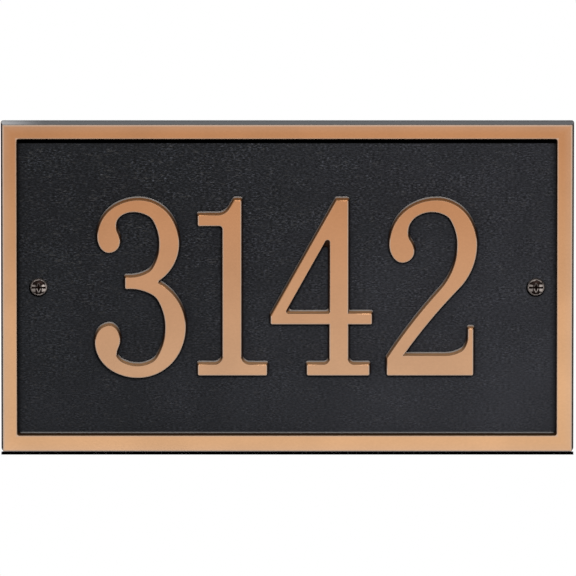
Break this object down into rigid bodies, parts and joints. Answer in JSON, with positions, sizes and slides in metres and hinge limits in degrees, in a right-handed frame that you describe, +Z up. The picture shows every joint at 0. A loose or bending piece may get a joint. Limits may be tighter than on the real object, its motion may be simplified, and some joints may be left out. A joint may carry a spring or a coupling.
{
  "type": "house number plaque",
  "caption": "Wide cast plaque with a raised border, a sunken dark field, raised metal serif numerals and a cross-recess screw at each end for fixing to a wall.",
  "frame": {"origin": "middle of the plate's flat back, on the wall plane", "axes": "+X to the right across the numerals, +Y into the wall, +Z up; the numerals face -Y"},
  "size_m": [0.2794, 0.0372, 0.165],
  "materials": {
    "plate": "sand-cast field in dark textured paint, border in satin copper",
    "numerals": "satin copper",
    "tape": "closed-cell foam adhesive pad",
    "screws": "dark bronze plated"
  },
  "bodies": {
    "root": {"plaque_plate": "plate", "numeral_three": "numerals", "numeral_one": "numerals", "numeral_four": "numerals", "numeral_two": "numerals", "tape_three": "tape", "tape_one": "tape", "tape_four": "tape", "tape_two": "tape", "screw_left": "screws", "screw_right": "screws"}
  },
  "joints": []
}
